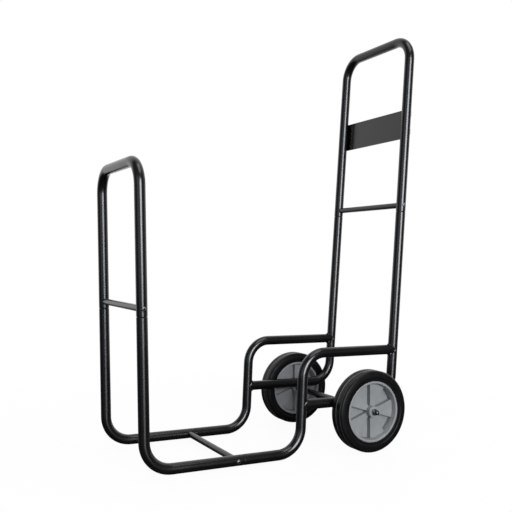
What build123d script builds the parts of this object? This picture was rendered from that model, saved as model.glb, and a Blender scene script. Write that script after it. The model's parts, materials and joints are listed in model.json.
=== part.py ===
from build123d import *

import os
from math import cos, radians, sin, tan

# Two-wheeled cart for firewood: a bent tube frame with a low log bed, a tall handle and two plain wheels.
# Millimetres and degrees. +Z is up, the handle is towards +X and the left wheel towards -Y.
# The origin is on the floor, in the middle of the cart's length and width.

# Frame tube
tube_diameter = 25.0
tube_wall = 1.2
rail_spacing = 282.0
floor_bend_radius = 66.0
riser_bend_radius = 61.0
foot_bend_radius = 61.0
hoop_bend_radius = 57.0

# The cart leans back on its wheels by this angle, so the front of the floor rails is just off the floor
stance_lean = 1.5

# Side view with the rails level, measured from the corner where the front leg meets the floor rail
base_length = 396.0
front_height = 702.5
front_lean = 2.5
riser_lean = 1.1
upper_run_height = 252.5
handle_reach = 677.0
handle_height = 1092.5
handle_lean = 2.75

# Plug-in joints: a swaged spigot in the open end of the next tube
spigot_length = 40.0
spigot_clearance = 0.2
swage_length = 3.0
bolt_to_seam = 16.0

# Cross tubes and the plugs in their ends
cross_tube_diameter = 15.0
cross_tube_wall = 1.2
front_cross_height = 366.0
base_cross_reach = 223.0
handle_cross_height = 632.0
plug_length = 20.0
plug_clearance = 0.05

# Button-head screws
bolt_diameter = 6.0
bolt_clearance = 0.2
bolt_thread_clearance = 0.05
bolt_engagement = 14.0
bolt_head_diameter = 10.5
bolt_head_height = 3.3
bolt_head_rim = 0.8
bolt_socket_width = 4.0
bolt_socket_depth = 2.0

# Handle plate
plate_height = 78.0
plate_thickness = 2.0
plate_centre_height = 853.5
plate_overlap = 2.0
plate_seat = 0.2

# Axle
axle_reach = 574.0
axle_tube_diameter = 16.0
axle_tube_wall = 1.5
axle_saddle_depth = 0.5
axle_tube_overhang = 1.0
axle_diameter = 12.0
axle_thread_diameter = 8.0
axle_thread_clearance = 0.05
axle_edge = 0.8
inner_washer_diameter = 21.0
outer_washer_diameter = 17.0
washer_thickness = 1.6
washer_clearance = 0.25
nut_width = 13.0
nut_hex_height = 6.5
nut_height = 15.0
nut_thread_depth = 11.0
nut_dome_inset = 0.3
nut_face_diameter = 12.4
nut_chamfer = 0.8

# Tyre
wheel_diameter = 203.0
tyre_width = 44.0
tyre_bead_width = 40.0
shoulder_bevel = 4.2
groove_width = 3.4
groove_floor_width = 1.8
groove_depth = 2.4

# Wheel centre: a folded web of raised and recessed sectors between the boss and the rim
rim_diameter = 152.0
rim_width = 38.0
rim_seat_diameter = 145.0
rim_lip_thickness = 3.0
rim_lip_round = 2.0
rim_mouth_diameter = 140.0
rim_web_diameter = 135.0
hub_length = 43.0
hub_diameter = 28.0
hub_edge = 0.8
hub_to_tyre_centre = 23.0
hub_bore_clearance = 0.08
hub_side_play = 0.3
raised_sectors = 5
# In the photo the right wheel stands one sector further round than the left one
sectors_turned = {"left": 0, "right": 1}
raised_face = 6.5
recessed_face = -5.5
web_thickness = 3.0
web_fold_thickness = 3.0

# Sizes that follow
tube_radius = tube_diameter / 2
cross_tube_radius = cross_tube_diameter / 2
wheel_radius = wheel_diameter / 2
axle_tube_radius = axle_tube_diameter / 2
front_bar_height = front_height - tube_radius
handle_bar_height = handle_height - tube_radius
side_y = rail_spacing / 2
spigot_radius = tube_radius - tube_wall - spigot_clearance
sides = {"left": -1, "right": 1}

# The rails touch the floor where their rear bend starts, and the axle is as high as lets the tyres touch it too
lean = radians(stance_lean)
rail_end = base_length - riser_bend_radius * tan(radians(90 - riser_lean) / 2)
rail_bend_outer_radius = riser_bend_radius + tube_radius
wheel_rise = (wheel_radius - rail_bend_outer_radius) / cos(lean)
axle_height = rail_bend_outer_radius + wheel_rise + (axle_reach - rail_end) * tan(lean)
lower_run_height = axle_height + axle_tube_radius + tube_radius - axle_saddle_depth


def front_leg_x(height):
    """Centre of the front leg at a height, from the front corner."""
    return -(height - tube_radius) * tan(radians(front_lean))


def riser_x(height):
    """Centre of the riser at a height, from the front corner."""
    return base_length + (height - tube_radius) * tan(radians(riser_lean))


def upright_x(height):
    """Centre of the upright and the handle leg at a height, from the front corner."""
    return handle_reach + (height - upper_run_height) * tan(radians(handle_lean))


def leaned(x, y, z):
    """Turn a place or direction on the level cart to the cart that leans back."""
    return Vector(x * cos(lean) + z * sin(lean), y, z * cos(lean) - x * sin(lean))


# The front corner's place puts the origin on the floor, in the middle of the cart's length
front_end = leaned(front_leg_x(front_bar_height), 0, front_bar_height).X - tube_radius
handle_end = leaned(upright_x(handle_bar_height), 0, handle_bar_height).X + tube_radius
front_corner_x = -(front_end + handle_end) / 2
front_corner_z = rail_bend_outer_radius - leaned(rail_end, 0, rail_bend_outer_radius).Z


def point(x, y, z):
    """A point of the cart as it stands, from its place on the level cart."""
    return leaned(x, y, z) + Vector(front_corner_x, 0, front_corner_z)


front_direction = leaned(-sin(radians(front_lean)), 0, cos(radians(front_lean)))
riser_direction = leaned(sin(radians(riser_lean)), 0, cos(radians(riser_lean)))
handle_direction = leaned(sin(radians(handle_lean)), 0, cos(radians(handle_lean)))
forward = leaned(-1, 0, 0)
lengthwise = Vector(1, 0, 0)
across = Vector(0, 1, 0)
upwards = Vector(0, 0, 1)

front_bolt = point(front_leg_x(front_cross_height), 0, front_cross_height)
base_bolt = point(base_cross_reach, 0, tube_radius)
handle_bolt = point(upright_x(handle_cross_height), 0, handle_cross_height)

# A joint's seam is below its screw, or behind it on the floor rail
front_seam = front_bolt - front_direction * bolt_to_seam
base_seam = base_bolt - forward * bolt_to_seam
handle_seam = handle_bolt - handle_direction * bolt_to_seam


def beside(middle, side):
    """The same point on the left or right tubes."""
    return middle + across * (side * side_y)


def bent_tube(points, radius):
    """Sweep the frame tube along straight runs with rounded corners."""
    with BuildLine() as path:
        FilletPolyline(*points, radius=radius)
    with BuildSketch(Plane(origin=path.line @ 0, z_dir=path.line % 0)) as ring:
        Circle(tube_radius)
        Circle(tube_radius - tube_wall, mode=Mode.SUBTRACT)
    sweep(sections=ring.sketch, path=path.line)


def swaged_end(seam, direction):
    """Narrow a tube's end to a spigot that reaches past the seam along a direction."""
    root = seam - direction * swage_length
    inner_radius = spigot_radius - tube_wall
    top = swage_length + spigot_length
    with BuildSketch(Plane(origin=root, x_dir=across, z_dir=across.cross(direction))) as wall:
        with BuildLine():
            Polyline(
                (tube_radius - tube_wall, 0),
                (tube_radius, 0),
                (spigot_radius, swage_length),
                (spigot_radius, top),
                (inner_radius, top),
                (inner_radius, swage_length),
                close=True,
            )
        make_face()
    revolve(profiles=wall.sketch, axis=Axis(root, direction))


def bolt_holes(axis_point, radius):
    """Drill straight across the cart, through every wall on the line."""
    with Locations(Plane(origin=axis_point, z_dir=across)):
        Hole(radius)


def cope(axis_point, direction, depth):
    """Cut away the round of another frame tube, so that this one's end fits against it."""
    with Locations(Plane(origin=axis_point, z_dir=direction)):
        Cylinder(tube_radius, depth, mode=Mode.SUBTRACT)


def save(piece, name):
    piece.label = name
    export_step(piece, f"parts/{name}.step")


os.makedirs("parts", exist_ok=True)
bolt_hole_radius = bolt_diameter / 2 + bolt_clearance

# Front hoop: its two legs end as sockets at the front seams
with BuildPart() as front_hoop:
    front_bar = point(front_leg_x(front_bar_height), 0, front_bar_height)
    bent_tube(
        (
            beside(front_seam, sides["left"]),
            beside(front_bar, sides["left"]),
            beside(front_bar, sides["right"]),
            beside(front_seam, sides["right"]),
        ),
        hoop_bend_radius,
    )
    bolt_holes(front_bolt, bolt_hole_radius)
save(front_hoop.part, "front_hoop")

# Handle hoop: the same form, taller, on the uprights
with BuildPart() as handle_hoop:
    handle_bar = point(upright_x(handle_bar_height), 0, handle_bar_height)
    bent_tube(
        (
            beside(handle_seam, sides["left"]),
            beside(handle_bar, sides["left"]),
            beside(handle_bar, sides["right"]),
            beside(handle_seam, sides["right"]),
        ),
        hoop_bend_radius,
    )
    bolt_holes(handle_bolt, bolt_hole_radius)
save(handle_hoop.part, "handle_hoop")

for side_name, side in sides.items():
    # Front tube: spigot into the hoop, leg, bend and the front half of the floor rail
    with BuildPart() as front_tube:
        front_corner = point(0, 0, tube_radius)
        bent_tube(
            (
                beside(front_seam - front_direction * swage_length, side),
                beside(front_corner, side),
                beside(base_seam, side),
            ),
            floor_bend_radius,
        )
        swaged_end(beside(front_seam, side), front_direction)
        bolt_holes(front_bolt, bolt_hole_radius)
        bolt_holes(base_bolt, bolt_hole_radius)
    save(front_tube.part, f"{side_name}_front_tube")

    # Rear tube: spigot into the front tube, floor rail, riser and the upper run up to the upright
    with BuildPart() as rear_tube:
        riser_foot = point(base_length, 0, tube_radius)
        riser_top = point(riser_x(upper_run_height), 0, upper_run_height)
        upright_crossing = point(handle_reach, 0, upper_run_height)
        bent_tube(
            (
                beside(base_seam - forward * swage_length, side),
                beside(riser_foot, side),
                beside(riser_top, side),
                beside(upright_crossing, side),
            ),
            riser_bend_radius,
        )
        swaged_end(beside(base_seam, side), forward)
        bolt_holes(base_bolt, bolt_hole_radius)
        cope(beside(upright_crossing, side), handle_direction, 2 * tube_diameter)
    save(rear_tube.part, f"{side_name}_rear_tube")

    # Upright: spigot into the handle hoop, bend at its foot and the lower run up to the riser
    with BuildPart() as upright:
        upright_foot = point(upright_x(lower_run_height), 0, lower_run_height)
        riser_crossing = point(riser_x(lower_run_height), 0, lower_run_height)
        bent_tube(
            (
                beside(handle_seam - handle_direction * swage_length, side),
                beside(upright_foot, side),
                beside(riser_crossing, side),
            ),
            foot_bend_radius,
        )
        swaged_end(beside(handle_seam, side), handle_direction)
        bolt_holes(handle_bolt, bolt_hole_radius)
        cope(beside(riser_crossing, side), riser_direction, 2 * tube_diameter)
    save(upright.part, f"{side_name}_upright")

# Handle plate: a flat sheet across the backs of the handle legs, which sit a little way into its face
backward = across.cross(handle_direction)
plate_centre = point(upright_x(plate_centre_height), 0, plate_centre_height)
plate_face = plate_centre + backward * (tube_radius - plate_seat)
with BuildPart() as handle_plate:
    with BuildSketch(Plane(origin=plate_face, x_dir=across, z_dir=backward)):
        Rectangle(rail_spacing + 2 * plate_overlap, plate_height)
    extrude(amount=plate_thickness)
    for side in sides.values():
        cope(beside(plate_centre, side), handle_direction, 2 * plate_height)
save(handle_plate.part, "handle_plate")

# Cross tubes, the plugs in their ends and the screws, one set at each plug-in joint
bolt_sets = {
    "front": (front_bolt, front_direction),
    "base": (base_bolt, forward),
    "handle": (handle_bolt, handle_direction),
}
plug_outer_radius = cross_tube_radius - cross_tube_wall - plug_clearance
plug_face = side_y - tube_radius
head_seat = side_y + tube_radius
bolt_length = tube_diameter + bolt_engagement
head_radius = bolt_head_diameter / 2
head_crown = bolt_head_height - bolt_head_rim
# The ball that rounds the head above its rim
head_ball_radius = (head_radius**2 + head_crown**2) / (2 * head_crown)
for set_name, (middle, leg_direction) in bolt_sets.items():
    with BuildPart() as cross_tube:
        with BuildSketch(Plane(origin=middle, z_dir=across)):
            Circle(cross_tube_radius)
            Circle(cross_tube_radius - cross_tube_wall, mode=Mode.SUBTRACT)
        extrude(amount=side_y, both=True)
        for side in sides.values():
            cope(beside(middle, side), leg_direction, 2 * tube_diameter)
    save(cross_tube.part, f"{set_name}_cross_tube")

    with BuildPart() as thread_plugs:
        for side in sides.values():
            with BuildSketch(Plane(origin=middle + across * (side * plug_face), z_dir=across * -side)):
                Circle(plug_outer_radius)
                Circle(bolt_diameter / 2 + bolt_thread_clearance, mode=Mode.SUBTRACT)
            extrude(amount=plug_length)
    save(thread_plugs.part, f"{set_name}_thread_plugs")

    with BuildPart() as bolts:
        for side in sides.values():
            seat = middle + across * (side * head_seat)
            outward = across * side
            with BuildSketch(Plane(origin=seat, x_dir=leg_direction, z_dir=leg_direction.cross(outward))):
                with BuildLine():
                    Polyline(
                        (0, bolt_head_height),
                        (0, -bolt_length),
                        (bolt_diameter / 2, -bolt_length),
                        (bolt_diameter / 2, 0),
                        (head_radius, 0),
                        (head_radius, bolt_head_rim),
                    )
                    RadiusArc(
                        (head_radius, bolt_head_rim),
                        (0, bolt_head_height),
                        -head_ball_radius,
                    )
                make_face()
            revolve(axis=Axis(seat, outward))
            with BuildSketch(Plane(origin=seat + outward * bolt_head_height, z_dir=outward)):
                RegularPolygon(bolt_socket_width / 2, 6, major_radius=False)
            extrude(amount=-bolt_socket_depth, mode=Mode.SUBTRACT)
    save(bolts.part, f"{set_name}_bolts")

# Axle tube: welded in shallow saddles under both lower runs
axle_middle = point(axle_reach, 0, axle_height)
axle_tube_end = side_y + tube_radius + axle_tube_overhang
with BuildPart() as axle_tube:
    with BuildSketch(Plane(origin=axle_middle, z_dir=across)):
        Circle(axle_tube_radius)
        Circle(axle_tube_radius - axle_tube_wall, mode=Mode.SUBTRACT)
    extrude(amount=axle_tube_end, both=True)
    for side in sides.values():
        cope(beside(point(axle_reach, 0, lower_run_height), side), forward, 2 * tube_diameter)
save(axle_tube.part, "axle_tube")

# Places along the axle, out from the cart's middle
hub_inner_face = axle_tube_end + washer_thickness + hub_side_play
hub_outer_face = hub_inner_face + hub_length
axle_shoulder = hub_outer_face + hub_side_play
nut_seat = axle_shoulder + washer_thickness
axle_end = nut_seat + nut_thread_depth - axle_edge

# Axle: a rod with a shoulder at each end, so that the nuts clamp on it and leave the wheels free
with BuildPart() as axle:
    with BuildSketch(Plane(origin=axle_middle, z_dir=across)):
        Circle(axle_diameter / 2)
    extrude(amount=axle_shoulder, both=True)
    with BuildSketch(Plane(origin=axle_middle, z_dir=across)):
        Circle(axle_thread_diameter / 2)
    extrude(amount=axle_end, both=True)
    end_edges = axle.edges().filter_by(GeomType.CIRCLE).group_by(Axis.Y)
    chamfer(end_edges[0] + end_edges[-1], axle_edge)
save(axle.part, "axle")


def washers(inner_face, diameter, bore):
    """A pair of flat washers, one on each side of the cart."""
    with BuildPart() as pair:
        for side in sides.values():
            with BuildSketch(Plane(origin=axle_middle + across * (side * inner_face), z_dir=across * side)):
                Circle(diameter / 2)
                Circle(bore / 2 + washer_clearance, mode=Mode.SUBTRACT)
            extrude(amount=washer_thickness)
    return pair.part


save(washers(axle_tube_end, inner_washer_diameter, axle_diameter), "inner_washers")
save(washers(axle_shoulder, outer_washer_diameter, axle_thread_diameter), "outer_washers")

# Dome nut: a hexagon with turned edges and a closed round cap, drawn once and put on both ends of the axle
dome_radius = nut_width / 2 - nut_dome_inset
nut_corner_radius = nut_width / 2 / cos(radians(30))
with BuildPart() as dome_nut:
    with BuildSketch(Plane.XY):
        RegularPolygon(nut_width / 2, 6, major_radius=False)
    extrude(amount=nut_hex_height)
    with BuildSketch(Plane.XZ):
        with BuildLine():
            Polyline(
                (0, 0),
                (nut_face_diameter / 2, 0),
                (nut_corner_radius, nut_chamfer),
                (nut_corner_radius, nut_hex_height - nut_chamfer),
                (nut_face_diameter / 2, nut_hex_height),
                (0, nut_hex_height),
                close=True,
            )
        make_face()
    revolve(axis=Axis.Z, mode=Mode.INTERSECT)
    with BuildSketch(Plane.XZ):
        with BuildLine():
            Polyline(
                (0, nut_height),
                (0, 0),
                (dome_radius, 0),
                (dome_radius, nut_height - dome_radius),
            )
            RadiusArc((dome_radius, nut_height - dome_radius), (0, nut_height), -dome_radius)
        make_face()
    revolve(axis=Axis.Z)
    with BuildSketch(Plane.XY):
        Circle(axle_thread_diameter / 2 + axle_thread_clearance)
    extrude(amount=nut_thread_depth, mode=Mode.SUBTRACT)
with BuildPart() as dome_nuts:
    for side in sides.values():
        outward = across * side
        with Locations(Plane(origin=axle_middle + outward * nut_seat, x_dir=upwards, z_dir=outward)):
            add(dome_nut.part)
save(dome_nuts.part, "dome_nuts")

# Wheels, drawn as a section: first number out from the axle, second along it from the tyre's centre plane
tyre_centre = hub_inner_face + hub_to_tyre_centre
rim_radius = rim_diameter / 2
rim_seat_radius = rim_seat_diameter / 2
rim_mouth_radius = rim_mouth_diameter / 2
rim_web_radius = rim_web_diameter / 2
seat_half_width = rim_width / 2 - rim_lip_thickness
sidewall_middle = (wheel_radius + rim_radius) / 2
web_inner_face = recessed_face - web_thickness
# The web's ends are buried in the rim
web_reach = (rim_web_radius + rim_seat_radius) / 2
sector_angle = 180 / raised_sectors


def tread_outline():
    """Points across the tread from its inner corner to its outer one, with a groove round its middle."""
    corner = tyre_bead_width / 2
    mouth = groove_width / 2
    floor = groove_floor_width / 2
    groove_radius = wheel_radius - groove_depth
    return [
        (wheel_radius, -corner),
        (wheel_radius, -mouth),
        (groove_radius, -floor),
        (groove_radius, floor),
        (wheel_radius, mouth),
        (wheel_radius, corner),
    ]


for side_name, side in sides.items():
    outward = across * side
    centre = axle_middle + outward * tyre_centre
    wheel_axis = Axis(centre, outward)
    section = Plane(origin=centre, x_dir=upwards, z_dir=upwards.cross(outward))

    # Tyre: seated between the rim's lips, with bulging sidewalls and bevelled shoulders
    with BuildPart() as tyre:
        with BuildSketch(section) as tyre_section:
            with BuildLine():
                tread = tread_outline()
                Polyline(*tread)
                ThreePointArc(
                    tread[-1],
                    (sidewall_middle, tyre_width / 2),
                    (rim_radius, tyre_bead_width / 2),
                )
                Polyline(
                    (rim_radius, tyre_bead_width / 2),
                    (rim_radius, seat_half_width),
                    (rim_seat_radius, seat_half_width),
                    (rim_seat_radius, -seat_half_width),
                    (rim_radius, -seat_half_width),
                    (rim_radius, -tyre_bead_width / 2),
                )
                ThreePointArc(
                    (rim_radius, -tyre_bead_width / 2),
                    (sidewall_middle, -tyre_width / 2),
                    tread[0],
                )
            make_face()
            tread_points = tyre_section.vertices().group_by(Axis.X)[-1].sort_by(Axis.Y)
            chamfer((tread_points[0], tread_points[-1]), shoulder_bevel)
        revolve(axis=wheel_axis)
    save(tyre.part, f"{side_name}_tyre")

    # Wheel centre: the boss with its running bore, a rim with two lips and a folded web
    with BuildPart() as wheel_hub:
        with BuildSketch(Plane(origin=centre - outward * hub_to_tyre_centre, z_dir=outward)):
            Circle(hub_diameter / 2)
        extrude(amount=hub_length)
        chamfer(wheel_hub.edges().filter_by(GeomType.CIRCLE), hub_edge)
        with BuildSketch(section) as rim_section:
            with BuildLine():
                Polyline(
                    (rim_web_radius, web_inner_face),
                    (rim_mouth_radius, -rim_width / 2),
                    (rim_radius, -rim_width / 2),
                    (rim_radius, -seat_half_width),
                    (rim_seat_radius, -seat_half_width),
                    (rim_seat_radius, seat_half_width),
                    (rim_radius, seat_half_width),
                    (rim_radius, rim_width / 2),
                    (rim_mouth_radius, rim_width / 2),
                    (rim_web_radius, raised_face),
                    close=True,
                )
            make_face()
            lip_points = rim_section.vertices().group_by(Axis.Y)
            fillet(lip_points[0] + lip_points[-1], rim_lip_round)
        revolve(axis=wheel_axis)
        # Raised and recessed sectors take turns round the boss
        half_sector = web_reach * tan(radians(sector_angle / 2))
        turn = sectors_turned[side_name] * sector_angle
        for face, start in ((raised_face, turn), (recessed_face, turn + sector_angle)):
            with BuildSketch(Plane(origin=centre + outward * face, x_dir=lengthwise, z_dir=outward)):
                with PolarLocations(0, raised_sectors, start_angle=start):
                    Polygon((0, 0), (web_reach, -half_sector), (web_reach, half_sector), align=None)
                Circle(web_reach, mode=Mode.INTERSECT)
            extrude(amount=-web_thickness)
        # Folds join each raised sector to its neighbours
        with BuildSketch(Plane(origin=centre + outward * raised_face, x_dir=lengthwise, z_dir=outward)):
            with PolarLocations(0, 2 * raised_sectors, start_angle=sector_angle / 2):
                Rectangle(web_reach, web_fold_thickness, align=(Align.MIN, Align.CENTER))
        extrude(amount=web_inner_face - raised_face)
        with Locations(Plane(origin=centre, z_dir=outward)):
            Hole(axle_diameter / 2 + hub_bore_clearance)
    save(wheel_hub.part, f"{side_name}_wheel_hub")
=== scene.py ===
# %% [markdown]
# # A firewood cart in black tube
# The cart is a welded and screwed frame of 25 mm tube on two grooved rubber tyres. The solids come in
# as a fixed frame, already in metres and in their places. This lesson gives them their finishes, adds
# the pieces that are too fine for the solids, and sets up the studio.

import json
from math import cos, pi, radians, sin, tan

import bmesh
import bpy
from mathutils import Matrix, Vector


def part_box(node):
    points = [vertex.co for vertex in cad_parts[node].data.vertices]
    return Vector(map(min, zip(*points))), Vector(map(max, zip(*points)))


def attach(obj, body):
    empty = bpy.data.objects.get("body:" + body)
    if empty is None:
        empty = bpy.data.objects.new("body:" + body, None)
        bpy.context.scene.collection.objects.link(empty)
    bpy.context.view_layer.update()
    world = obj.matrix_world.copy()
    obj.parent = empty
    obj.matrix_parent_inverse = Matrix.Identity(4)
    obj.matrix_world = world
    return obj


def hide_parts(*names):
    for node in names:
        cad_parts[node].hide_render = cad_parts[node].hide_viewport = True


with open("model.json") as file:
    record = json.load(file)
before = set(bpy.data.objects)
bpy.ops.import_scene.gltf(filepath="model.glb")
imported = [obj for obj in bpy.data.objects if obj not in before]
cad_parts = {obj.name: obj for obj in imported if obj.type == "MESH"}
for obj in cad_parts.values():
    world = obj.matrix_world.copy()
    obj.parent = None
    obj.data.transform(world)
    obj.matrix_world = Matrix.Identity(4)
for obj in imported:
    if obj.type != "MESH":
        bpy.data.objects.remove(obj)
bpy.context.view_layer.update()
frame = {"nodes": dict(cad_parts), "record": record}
mm = 0.001
print("solids:", len(frame["nodes"]))

# %% [markdown]
# ## The camera
# The camera stands a little in front of the cart and looks across it, almost level. Its place, turn and
# lens were worked out from the straight tubes of the frame. A camera looks along its own -Z axis with
# +Y up, so its turn is written as three directions: right, up and backwards. That is easier to follow
# than three angles in a fixed order.

# %% Set the camera
picture_width = 512
focal_length_pixels = 704.0
sensor_width = 36.0
camera_place = Vector((-0.8831, -1.5926, 0.4930))
camera_yaw = radians(28.598)
camera_pitch = radians(-0.145)

level_ahead = Vector((sin(camera_yaw), cos(camera_yaw), 0))
ahead = level_ahead * cos(camera_pitch) + Vector((0, 0, sin(camera_pitch)))
right = Vector((cos(camera_yaw), -sin(camera_yaw), 0))
up = right.cross(ahead)

camera_data = bpy.data.cameras.new("camera")
camera_data.sensor_width = sensor_width
camera_data.lens = focal_length_pixels / picture_width * sensor_width
camera = bpy.data.objects.new("camera", camera_data)
camera_turn = Matrix((right, up, -ahead)).transposed().to_4x4()
camera.matrix_world = Matrix.Translation(camera_place) @ camera_turn
bpy.context.scene.collection.objects.link(camera)
bpy.context.scene.camera = camera
bpy.context.scene.view_settings.view_transform = "Standard"
print("lens:", round(camera_data.lens, 2), "mm")

# %% [markdown]
# ## Shader sums as Python
# A finish is a small network of nodes. Adding every node by hand hides the idea, so two helpers carry
# the work. A `Wire` is one output socket, and sums with it add Math nodes. A `Finish` is one material,
# and its `node` method adds any other node from its type, its settings and what goes into its sockets.

# %% Make the two shader helpers
class Wire:
    """An output socket of a finish, which can be added, taken away, multiplied and raised to a power."""

    def __init__(self, finish, socket):
        self.finish = finish
        self.socket = socket

    def sum(self, operation, first, second):
        return self.finish.node("Math", {"operation": operation}, {0: first, 1: second})

    def __add__(self, other):
        return self.sum("ADD", self, other)

    def __radd__(self, other):
        return self.sum("ADD", other, self)

    def __sub__(self, other):
        return self.sum("SUBTRACT", self, other)

    def __rsub__(self, other):
        return self.sum("SUBTRACT", other, self)

    def __mul__(self, other):
        return self.sum("MULTIPLY", self, other)

    def __rmul__(self, other):
        return self.sum("MULTIPLY", other, self)

    def __pow__(self, other):
        return self.sum("POWER", self, other)


class Finish:
    """The nodes of one material or of the world, which start with one shader."""

    # Noise mostly stays between these two, so a tint goes from its dark to its light colour there
    noise_low = 0.3
    noise_high = 0.7

    def __init__(self, owner, shader="Principled BSDF"):
        self.owner = owner
        owner.use_nodes = True
        self.tree = owner.node_tree
        self.surface = self.tree.nodes[shader]

    def feed(self, socket, value):
        """Link a wire to a socket, or set a plain value on it."""
        if isinstance(value, Wire):
            self.tree.links.new(value.socket, socket)
        else:
            socket.default_value = value

    def node(self, kind, settings=None, sockets=None, output=0):
        """Add a node: its settings first, then what goes into its sockets."""
        made = self.tree.nodes.new("ShaderNode" + kind)
        for name, value in (settings or {}).items():
            if name == "stops":
                for element, (place, colour) in zip(made.color_ramp.elements, value):
                    element.position = place
                    element.color = colour
            else:
                setattr(made, name, value)
        for name, value in (sockets or {}).items():
            self.feed(made.inputs[name], value)
        return Wire(self, made.outputs[output])

    def place(self):
        """Where a point is on the cart, in metres."""
        return self.node("TexCoord", output="Object")

    def noise(self, per_metre, detail=2.0, roughness=0.5):
        """Cloudy noise with this many lumps to the metre."""
        sockets = {"Vector": self.place(), "Scale": per_metre, "Detail": detail, "Roughness": roughness}
        return self.node("TexNoise", sockets=sockets)

    def reach(self, line):
        """How far a point is from a line that runs straight across the cart."""
        x, z = [self.node("SeparateXYZ", sockets={0: self.place()}, output=axis) for axis in (0, 2)]
        out_x = x - line.x
        out_z = z - line.z
        return (out_x * out_x + out_z * out_z) ** 0.5

    def cover(self, factor, colour, cover_colour):
        """One colour laid over another, by a factor."""
        return self.node("Mix", {"data_type": "RGBA"}, {0: factor, 6: colour, 7: cover_colour}, output=2)

    def tint(self, factor, dark, light):
        """A colour between two, by a factor."""
        stops = [(self.noise_low, (*dark, 1.0)), (self.noise_high, (*light, 1.0))]
        return self.node("ValToRGB", {"stops": stops}, {"Fac": factor})

    def bump(self, relief, height):
        """Small relief of this height in metres."""
        return self.node("Bump", sockets={"Height": relief, "Distance": height, "Strength": 1.0})

    def dress(self, **sockets):
        """Feed the surface shader. A socket's name is written with _ for a space."""
        for name, value in sockets.items():
            self.feed(self.surface.inputs[name.replace("_", " ")], value)
        return self.owner


print("shader helpers ready")

# %% [markdown]
# ## The black powder coat
# Powder is sprayed on dry and baked, so it flows into a thin, even, satin skin. Close up it has the
# fine ripple called orange peel, and a faint cloudiness where it is a little thicker. Both come from
# noise: a fine one for the ripple in the surface, and a slow one for the colour and the gloss. The
# ripple is only a few thousandths of a millimetre high, because a deeper one would break up the bright
# lines along the tubes.

# %% Powder coat
peel_height = 0.002 * mm


def make_powder_coat():
    finish = Finish(bpy.data.materials.new("black_powder_coat"))
    clouds = finish.noise(per_metre=14.0, detail=3.0)
    speckle = finish.noise(per_metre=900.0, detail=1.0)
    peel = finish.noise(per_metre=420.0)
    thickness = clouds * 0.7 + speckle * 0.3
    return finish.dress(
        Base_Color=finish.tint(thickness, dark=(0.0018, 0.0019, 0.0021), light=(0.0036, 0.0037, 0.0041)),
        Roughness=0.17 + clouds * 0.08 + speckle * 0.03,
        Normal=finish.bump(peel, peel_height),
        Specular_IOR_Level=0.55,
    )


powder_coat = make_powder_coat()
print("made", powder_coat.name)

# %% [markdown]
# ## Black screws and nuts
# The screw heads and dome nuts are blackened steel. The black is a thin chemical layer, so the metal's
# fine turning marks still show as a slight unevenness in the gloss. The nuts are polished and nearly
# black. The screw heads are rolled in a drum with the rest of their batch, which rubs them grey. Their
# sockets are coloured near black, which is painted shade for the deep hollow. The two screws at each
# height share one line across the cart, so a point is in a socket when it is near it.

# %% Blackened steel
screw_nodes = ("front_bolts", "base_bolts", "handle_bolts")
screw_lines = [sum(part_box(node), Vector()) / 2 for node in screw_nodes]
metal_grain_height = 0.010 * mm
socket_reach = 2.35 * mm
# Painted shade: the near black laid down each screw's socket
socket_painted_shade = (0.012, 0.012, 0.012, 1.0)


def make_blackened_steel(name, dark, light, dullness, socket_lines=()):
    finish = Finish(bpy.data.materials.new(name))
    stain = finish.noise(per_metre=160.0, detail=3.0)
    grain = finish.noise(per_metre=2600.0, detail=1.0)
    colour = finish.tint(stain, dark, light)
    # Painted shade: a point near a screw's line, down its socket, is coloured near black
    for line in socket_lines:
        reach = finish.reach(line)
        colour = finish.cover(reach.sum("LESS_THAN", reach, socket_reach), colour, socket_painted_shade)
    return finish.dress(
        Base_Color=colour,
        Metallic=1.0,
        Roughness=dullness + stain * 0.14,
        Normal=finish.bump(grain, metal_grain_height),
    )


nut_black = make_blackened_steel(
    "nut_black", dark=(0.055, 0.056, 0.058), light=(0.090, 0.091, 0.094), dullness=0.18
)
screw_black = make_blackened_steel(
    "screw_black",
    dark=(0.170, 0.171, 0.175),
    light=(0.240, 0.241, 0.246),
    dullness=0.36,
    socket_lines=screw_lines,
)
print("made", nut_black.name, "and", screw_black.name)

# %% [markdown]
# ## Zinc on the washers and the axle
# Zinc plating is a bright, slightly milky metal. A metallic surface takes its colour from its
# reflections, so the colour stays nearly even and the roughness carries the clouds.

# %% Zinc plate
def make_zinc_plate():
    finish = Finish(bpy.data.materials.new("zinc_plate"))
    clouds = finish.noise(per_metre=220.0, detail=4.0, roughness=0.6)
    grain = finish.noise(per_metre=3200.0, detail=1.0)
    return finish.dress(
        Base_Color=finish.tint(clouds, dark=(0.50, 0.51, 0.53), light=(0.68, 0.69, 0.70)),
        Metallic=1.0,
        Roughness=0.24 + clouds * 0.22,
        Normal=finish.bump(grain, metal_grain_height),
    )


zinc_plate = make_zinc_plate()
print("made", zinc_plate.name)

# %% [markdown]
# ## Tyre rubber
# Moulded rubber is a dull black with a slight grey bloom, and it scatters light more than paint does.
# The bloom is stronger in slow patches, and the mould leaves a fine matt grain. The groove round the
# tread is coloured pale: partly dust that stays in it, and partly a painted highlight for the light its
# far wall catches. The tread's two rounded edges get a thin pale line that is a painted highlight, the
# glint along a crisp edge. A point is in the groove when it is near the middle of the tyre's width and
# inside the tread, and on an edge when it is at the right distance from that middle.

# %% Rubber
tyre_middle = sum(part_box("left_tyre"), Vector()) / 2
rubber_grain_height = 0.02 * mm
# Pale colour for dust and painted highlight in the groove, and painted highlight on the tread's edges
dust_and_highlight_colour = (0.300, 0.298, 0.292, 1.0)
groove_pale_top = 101.2 * mm
groove_pale_bottom = 100.2 * mm
groove_pale_reach = 2.0 * mm
edge_place = 16.3 * mm
edge_reach = 0.7 * mm


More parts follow.
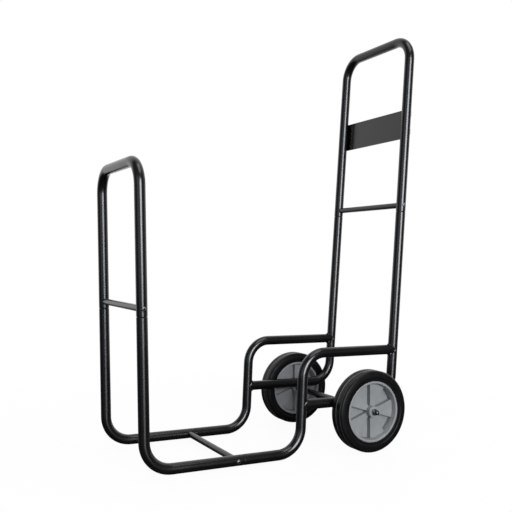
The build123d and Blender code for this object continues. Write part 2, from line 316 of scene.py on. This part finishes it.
def from_middle(finish):
    """How far a point is from the middle of its tyre's width."""
    y = finish.node("SeparateXYZ", sockets={0: finish.place()}, output="Y")
    return y.sum("ABSOLUTE", y.sum("ABSOLUTE", y, 0) - abs(tyre_middle.y), 0)


def in_groove(finish):
    """1 down in the groove of either tyre's tread, 0 elsewhere."""
    radius = finish.reach(tyre_middle)
    depth = finish.node(
        "MapRange", sockets={"Value": radius, "From Min": groove_pale_top, "From Max": groove_pale_bottom}
    )
    return depth * depth.sum("LESS_THAN", from_middle(finish), groove_pale_reach)


def on_edge(finish):
    """1 on the rounded edges of the tread, 0 elsewhere."""
    off_edge = from_middle(finish) - edge_place
    return off_edge.sum("LESS_THAN", off_edge.sum("ABSOLUTE", off_edge, 0), edge_reach)


def make_rubber():
    finish = Finish(bpy.data.materials.new("tyre_rubber"))
    bloom = finish.noise(per_metre=45.0, detail=4.0, roughness=0.6)
    grain = finish.noise(per_metre=1900.0)
    # Dust and a painted highlight in the groove, and a painted highlight along the tread's edges
    dust_and_highlight = in_groove(finish) * (0.45 + bloom * 0.8) + on_edge(finish) * (0.10 + bloom * 0.16)
    black = finish.tint(bloom, dark=(0.0022, 0.0023, 0.0025), light=(0.0044, 0.0045, 0.0048))
    return finish.dress(
        Base_Color=finish.cover(dust_and_highlight, black, dust_and_highlight_colour),
        Roughness=0.26 + bloom * 0.12 + grain * 0.06 + dust_and_highlight * 0.3,
        Normal=finish.bump(grain, rubber_grain_height),
        Specular_IOR_Level=0.17,
    )


rubber = make_rubber()
print("made", rubber.name)

# %% [markdown]
# ## Grey wheel plastic
# The wheel centres are moulded in one shot from grey plastic. The mould's spark-eroded face gives a
# fine even grain, and the flow of the melt leaves pale and dark streaks that are only just visible.

# %% Wheel plastic
mould_grain_height = 0.04 * mm


def make_wheel_plastic():
    finish = Finish(bpy.data.materials.new("wheel_plastic"))
    flow = finish.noise(per_metre=38.0, detail=4.0, roughness=0.55)
    grain = finish.noise(per_metre=1500.0)
    return finish.dress(
        Base_Color=finish.tint(flow, dark=(0.193, 0.197, 0.201), light=(0.228, 0.234, 0.239)),
        Roughness=0.38 + flow * 0.12 + grain * 0.06,
        Normal=finish.bump(grain, mould_grain_height),
        Specular_IOR_Level=0.45,
    )


wheel_plastic = make_wheel_plastic()
print("made", wheel_plastic.name)

# %% [markdown]
# ## Dress the solids
# Each solid already names the slot that its finish belongs to, so one table from slot to finish dresses
# them all, and the nuts then get their own black. A solid's shape is left alone; only the material in
# its slot changes.

# %% Put the finishes on the solids
slot_finishes = {
    "frame_paint": powder_coat,
    "black_fastener": screw_black,
    "zinc_plate": zinc_plate,
    "tyre_rubber": rubber,
    "wheel_plastic": wheel_plastic,
}
for subpart in frame["record"]["subparts"]:
    for material_slot in frame["nodes"][subpart["node"]].material_slots:
        material_slot.material = slot_finishes[subpart["material_slot"]]
for material_slot in frame["nodes"]["dome_nuts"].material_slots:
    material_slot.material = nut_black

# %% [markdown]
# ## From a bmesh to a piece of the cart
# Every new piece ends the same way: its normals are set outwards, its faces shade smoothly except
# across sharp corners, and it becomes an object that rides on one body of the cart.

# %% Helper that finishes a piece
sharp_corner = radians(38)
merge_distance = 0.001 * mm


def finish_piece(shape, name, finish, body):
    """Turn a bmesh into an object that rides on a body."""
    bmesh.ops.remove_doubles(shape, verts=shape.verts, dist=merge_distance)
    bmesh.ops.recalc_face_normals(shape, faces=shape.faces)
    for face in shape.faces:
        face.smooth = True
    for edge in shape.edges:
        edge.smooth = edge.calc_face_angle(0.0) < sharp_corner
    mesh = bpy.data.meshes.new(name)
    shape.to_mesh(mesh)
    shape.free()
    mesh.materials.append(finish)
    piece = bpy.data.objects.new(name, mesh)
    bpy.context.scene.collection.objects.link(piece)
    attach(piece, body)
    print("made", name, "with", len(mesh.polygons), "faces on", body)
    return piece


print("piece helper ready")

# %% [markdown]
# ## Tyres
# A tyre is the same all the way round, so it is drawn once as a section and spun about the axle. The
# section is a closed outline: the bead, a step beside the rim, the bulging sidewall, a sloping shoulder
# and a tread with one groove round its middle. The corners are rounded while the outline is still one
# flat face, because bevelling two dozen points is quicker and cleaner than bevelling a thousand edges
# after the spin.

# %% Spin the tyres
tread_radius = 101.5 * mm
shoulder_rounding = 2.4 * mm
groove_depth = 2.4 * mm
groove_half_mouth = 1.7 * mm
groove_half_floor = 0.9 * mm
mouth_rounding = 0.5 * mm
floor_rounding = 0.35 * mm
bead_radius = 76.1 * mm
seat_radius = 72.6 * mm
seat_half_width = 15.9 * mm
# One sidewall, from the bead out to the shoulder: radius, half width and how far its corner is rounded
sidewall = [
    (bead_radius, 20.0 * mm, 0.6 * mm),
    (77.2 * mm, 20.2 * mm, 0.3 * mm),
    (83.2 * mm, 20.2 * mm, 0.3 * mm),
    (84.2 * mm, 21.5 * mm, 0.5 * mm),
    (86.5 * mm, 21.9 * mm, 1.0 * mm),
    (97.0 * mm, 20.8 * mm, 0.9 * mm),
    (tread_radius, 16.6 * mm, shoulder_rounding),
]
spin_steps = 160
shoulder_segments = 6
corner_segments = 3


def tyre_outline(shape, centre):
    """One flat face with the tyre's section above the axle, and how far each corner is rounded."""
    points = [(seat_radius, -seat_half_width, 0.0), (bead_radius, -seat_half_width, 0.0)]
    points += [(radius, -width, rounding) for radius, width, rounding in sidewall]
    points += [
        (tread_radius, -groove_half_mouth, mouth_rounding),
        (tread_radius - groove_depth, -groove_half_floor, floor_rounding),
        (tread_radius - groove_depth, groove_half_floor, floor_rounding),
        (tread_radius, groove_half_mouth, mouth_rounding),
    ]
    points += list(reversed(sidewall))
    points += [(bead_radius, seat_half_width, 0.0), (seat_radius, seat_half_width, 0.0)]
    corners = [shape.verts.new(centre + Vector((0, along, out))) for out, along, _ in points]
    shape.faces.new(corners)
    return list(zip(corners, [rounding for _, _, rounding in points]))


def make_tyre(side):
    low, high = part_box(f"{side}_tyre")
    centre = (low + high) / 2
    shape = bmesh.new()
    corners = tyre_outline(shape, centre)
    for rounding in sorted({amount for _, amount in corners if amount}):
        bmesh.ops.bevel(
            shape,
            geom=[corner for corner, amount in corners if amount == rounding],
            offset=rounding,
            affect="VERTICES",
            segments=shoulder_segments if rounding == shoulder_rounding else corner_segments,
            profile=0.5,
            material=-1,
        )
    bmesh.ops.delete(shape, geom=list(shape.faces), context="FACES_ONLY")
    bmesh.ops.spin(
        shape,
        geom=list(shape.verts) + list(shape.edges),
        cent=centre,
        axis=Vector((0, 1, 0)),
        angle=2 * pi,
        steps=spin_steps,
        use_merge=True,
    )
    tyre = finish_piece(shape, f"{side}_ribbed_tyre", rubber, f"{side}_wheel")
    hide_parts(f"{side}_tyre")


for side in ("left", "right"):
    make_tyre(side)

# %% [markdown]
# ## Weld beads
# Where a tube's end is shaped to sit against another tube, the welder runs a bead all round the joint,
# and the powder covers it. A bead is a row of overlapping pools, so it is built as small rings along
# the joint's curve, each bridged to the next, and the rings swell and shrink to give the ripples. The
# cart leans back a little on its wheels, so the joints are worked out on the level cart and then turned
# with it.

# %% The bead helper
stance_lean = radians(1.5)
front_corner = Vector((-366.633 * mm, 0, 8.825 * mm))
bead_segments = 8
ripple_depth = 0.13
rings_in_ripple = 3
end_taper = 0.5


def on_cart(x, y, z):
    """A point or direction of the level cart, turned back with the stance."""
    turned_x = x * cos(stance_lean) + z * sin(stance_lean)
    turned_z = z * cos(stance_lean) - x * sin(stance_lean)
    return Vector((turned_x, y, turned_z))


def run_bead(shape, places, bulges, radius, closed=True):
    """Bridge rings along a curve. A bulge is the direction in which the bead stands out at a place."""
    rings = []
    last = len(places) - 1
    for index, (place, bulge) in enumerate(zip(places, bulges)):
        behind = places[index - 1] if closed or index > 0 else places[0]
        before = places[(index + 1) % len(places)] if closed or index < last else places[last]
        along = (before - behind).normalized()
        across = along.cross(bulge).normalized()
        ring_radius = radius * (1 + ripple_depth * sin(2 * pi * index / rings_in_ripple))
        end = not closed and index in (0, last)
        turn = Matrix((across, along.cross(across), along)).transposed().to_4x4()
        ring = bmesh.ops.create_circle(
            shape,
            cap_ends=end,
            radius=ring_radius * (end_taper if end else 1.0),
            segments=bead_segments,
            matrix=Matrix.Translation(place) @ turn,
        )
        rings.append(list({edge for vert in ring["verts"] for edge in vert.link_edges}))
    pairs = list(zip(rings, rings[1:])) + ([(rings[last], rings[0])] if closed else [])
    for first, second in pairs:
        bmesh.ops.bridge_loops(shape, edges=first + second)


print("bead helper ready")

# %% [markdown]
# ## Welded tube ends
# The upper run ends against the upright and the lower run against the riser. Both tubes are equally
# thick, so the joint is a saddle: at the top and bottom the bead fills a square corner, and at the
# sides the two tubes are flush and the bead lies flat on them.

# %% Beads round the tube ends
tube_radius = 12.5 * mm
tube_side = 141.0 * mm
joint_bead = 2.4 * mm
joint_rings = 120
upper_run = 252.5 * mm
lower_run = 127.73 * mm
upright_reach = 677.0 * mm
upright_lean = radians(2.75)
riser_reach = 396.0 * mm
riser_lean = radians(1.1)
# How far the middle of the bead stands out of a square corner, and how far it is sunk where the tubes
# are flush, both as shares of its radius
corner_rise = 0.25
flush_sink = 0.55
side_bulge = 2


def upright_x(z):
    return upright_reach + (z - upper_run) * tan(upright_lean)


def riser_x(z):
    return riser_reach + (z - tube_radius) * tan(riser_lean)


def saddle_bead(name, post_x, run_z, facing, side):
    """A bead where a run along the cart meets a post. Facing is +1 where the run is behind the post."""
    places = []
    bulges = []
    for step in range(joint_rings):
        angle = 2 * pi * step / joint_rings
        reach = abs(cos(angle))
        z = run_z + tube_radius * cos(angle)
        rise = corner_rise * reach - flush_sink * (1 - reach)
        bulge = on_cart(facing * reach, side_bulge * sin(angle), cos(angle)).normalized()
        x = post_x(z) + facing * tube_radius * reach
        point = on_cart(x, side * tube_side + tube_radius * sin(angle), z)
        places.append(front_corner + point + bulge * joint_bead * rise)
        bulges.append(bulge)
    shape = bmesh.new()
    run_bead(shape, places, bulges, joint_bead)
    finish_piece(shape, name, powder_coat, "frame")


for side_name, side in (("left", -1), ("right", 1)):
    saddle_bead(f"{side_name}_upper_weld", upright_x, upper_run, -1, side)
    saddle_bead(f"{side_name}_lower_weld", riser_x, lower_run, 1, side)

# %% [markdown]
# ## Small welds
# The axle tube is tacked to each lower run by a short ring of weld where the two tubes cross. The plate
# lies on the backs of the handle legs and is held by two short beads on each end.

# %% Axle and plate welds
axle_reach = 574.0 * mm
crossing_height = 115.4 * mm
crossing_half_length = 5.2 * mm
crossing_half_width = 6.5 * mm
crossing_bead = 1.7 * mm
crossing_rings = 36
plate_height = 853.5 * mm
plate_end = 143.5 * mm
plate_back = 13.0 * mm
plate_bead = 1.5 * mm
plate_tack_rings = 22
plate_tack_length = 16.0 * mm
plate_tack_offset = 24.0 * mm

for side_name, side in (("left", -1), ("right", 1)):
    places = []
    bulges = []
    for step in range(crossing_rings):
        angle = 2 * pi * step / crossing_rings
        x = axle_reach + crossing_half_length * cos(angle)
        y = side * tube_side + crossing_half_width * sin(angle)
        places.append(front_corner + on_cart(x, y, crossing_height))
        bulges.append(on_cart(cos(angle), sin(angle), 0))
    shape = bmesh.new()
    run_bead(shape, places, bulges, crossing_bead)
    finish_piece(shape, f"{side_name}_axle_weld", powder_coat, "frame")

    shape = bmesh.new()
    up_leg = on_cart(sin(upright_lean), 0, cos(upright_lean))
    backward = on_cart(cos(upright_lean), 0, -sin(upright_lean))
    leg_point = on_cart(upright_x(plate_height), side * plate_end, plate_height)
    middle = front_corner + leg_point + backward * plate_back
    for offset in (-plate_tack_offset, plate_tack_offset):
        start = middle + up_leg * (offset - plate_tack_length / 2)
        pitch = plate_tack_length / (plate_tack_rings - 1)
        places = [start + up_leg * pitch * step for step in range(plate_tack_rings)]
        run_bead(shape, places, [backward] * plate_tack_rings, plate_bead, closed=False)
    finish_piece(shape, f"{side_name}_plate_weld", powder_coat, "frame")

# %% [markdown]
# ## The studio
# The cart stands in front of a white backdrop. The backdrop is seen by the camera and in reflections,
# and it lights the sides of the cart that face it. The rest of the room is dim. A real backdrop is a
# sheet of paper, but a world shader does the same with no seams and no edges in the picture.

# %% The room
room_light = 0.15
backdrop_light = 0.9
backdrop_edge = cos(radians(83))
backdrop_middle = cos(radians(68))


def mirrored(finish):
    """1 for a ray that left a mirror-like or clear surface."""
    glossy = finish.node("LightPath", output="Is Glossy Ray")
    return glossy.sum("MAXIMUM", glossy, finish.node("LightPath", output="Is Transmission Ray"))


def make_room():
    finish = Finish(bpy.data.worlds.new("studio"), "Background")
    seen = finish.node("LightPath", output="Is Camera Ray")
    towards = finish.node("TexCoord", output="Generated")
    facing = finish.node(
        "VectorMath", {"operation": "DOT_PRODUCT"}, {0: towards, 1: ahead}, output="Value"
    )
    backdrop = finish.node(
        "MapRange",
        {"interpolation_type": "SMOOTHSTEP"},
        {"Value": facing, "From Min": backdrop_edge, "From Max": backdrop_middle},
    )
    light = room_light + backdrop * (backdrop_light - room_light)
    white = seen.sum("MAXIMUM", seen, mirrored(finish) * backdrop)
    return finish.dress(Color=(1, 1, 1, 1), Strength=light + white * (1 - light))


bpy.context.scene.world = make_room()
print("room light:", room_light, "and", backdrop_light, "from the backdrop")

# %% [markdown]
# ## The floor
# The floor is a wide disc. Near the cart it takes the shadow, and further out it turns into the same
# white as the backdrop, so that no horizon shows. The camera sees it pale, but everything else sees a
# dark grey. So the tubes mirror it white only where it runs up to the backdrop, and dark in front of the
# cart, a painted dark reflection that keeps the black paint from looking grey; the dark grey also sends
# little light up to the undersides, which is painted shade.

# %% Lay the floor
# Distances in metres: the mirrored white starts and is full so far behind the cart's middle, and the
# floor that the camera sees fades to full white so far from the middle
sheet_start = 0.4
sheet_full = 2.0
fade_start = 0.4
fade_full = 1.5
near_white = 0.94
# Painted dark reflection and painted shade: the floor's colour for every ray but the camera's
floor_painted_dark = (0.04, 0.04, 0.04)
floor_white = (0.95, 0.95, 0.95)


def make_floor_finish():
    finish = Finish(bpy.data.materials.new("pale_floor"))
    seen = finish.node("LightPath", output="Is Camera Ray")
    place = finish.place()
    behind = finish.node(
        "VectorMath", {"operation": "DOT_PRODUCT"}, {0: place, 1: ahead}, output="Value"
    )
    sheet = finish.node(
        "MapRange",
        {"interpolation_type": "SMOOTHSTEP"},
        {"Value": behind, "From Min": sheet_start, "From Max": sheet_full},
    )
    distance = finish.node("VectorMath", {"operation": "LENGTH"}, {0: place}, output="Value")
    fade = finish.node(
        "MapRange",
        {"interpolation_type": "SMOOTHSTEP"},
        {
            "Value": distance,
            "From Min": fade_start,
            "From Max": fade_full,
            "To Min": near_white,
            "To Max": 1.0,
        },
    )
    white = seen.sum("MAXIMUM", seen * fade, mirrored(finish) * sheet)
    # Pale to the camera, painted dark to reflections and bounce light
    finish.dress(
        Base_Color=finish.tint(seen, dark=floor_painted_dark, light=floor_white),
        Roughness=0.3,
        Specular_IOR_Level=0.1,
    )
    glow = finish.node("Emission", sockets={"Color": (1, 1, 1, 1), "Strength": 1.0})
    paint = Wire(finish, finish.surface.outputs[0])
    mixed = finish.node("MixShader", sockets={0: white, 1: paint, 2: glow})
    finish.feed(finish.tree.nodes["Material Output"].inputs["Surface"], mixed)
    return finish.owner


floor_radius = 9.0
floor_segments = 96
floor_shape = bmesh.new()
bmesh.ops.create_circle(floor_shape, cap_ends=True, radius=floor_radius, segments=floor_segments)
floor_mesh = bpy.data.meshes.new("studio_floor")
floor_shape.to_mesh(floor_mesh)
floor_shape.free()
floor_mesh.materials.append(make_floor_finish())
floor = bpy.data.objects.new("studio_floor", floor_mesh)
bpy.context.scene.collection.objects.link(floor)
print("floor radius:", floor_radius, "m")

# %% [markdown]
# ## The lamps
# A black tube shows its shape by what it mirrors. A tall softbox beside the cart draws the sharp bright
# line down each upright tube, a wide dim one in front gives the soft grey band next to it, and one
# overhead lights the tops.

# %% Softboxes
def softbox(name, place, aim, width, height, brightness, colour=(1, 1, 1)):
    """A flat lamp that faces a point. Brightness is what a mirror would show of it."""
    lamp = bpy.data.lights.new(name, "AREA")
    lamp.shape = "RECTANGLE"
    lamp.size = width
    lamp.size_y = height
    lamp.energy = brightness * width * height * pi
    lamp.color = colour
    holder = bpy.data.objects.new(name, lamp)
    holder.location = place
    holder.rotation_euler = (Vector(aim) - Vector(place)).to_track_quat("-Z", "Y").to_euler()
    bpy.context.scene.collection.objects.link(holder)
    print(name, "gives", round(lamp.energy, 1), "W")


softbox(
    "tall_softbox",
    place=(-0.45, -6.4, 1.75),
    aim=(-0.2, 0, 0.9),
    width=3.4,
    height=3.5,
    brightness=13.4,
    colour=(0.955, 0.975, 1.0),
)
softbox(
    "wide_softbox",
    place=(-3.5, -2.7, 1.5),
    aim=(-0.2, 0, 0.7),
    width=3.6,
    height=2.8,
    brightness=0.8,
    colour=(0.72, 0.86, 1.0),
)
softbox(
    "overhead_softbox",
    place=(0.2, -1.2, 3.6),
    aim=(0.1, 0, 0.3),
    width=2.2,
    height=2.2,
    brightness=2.6,
)
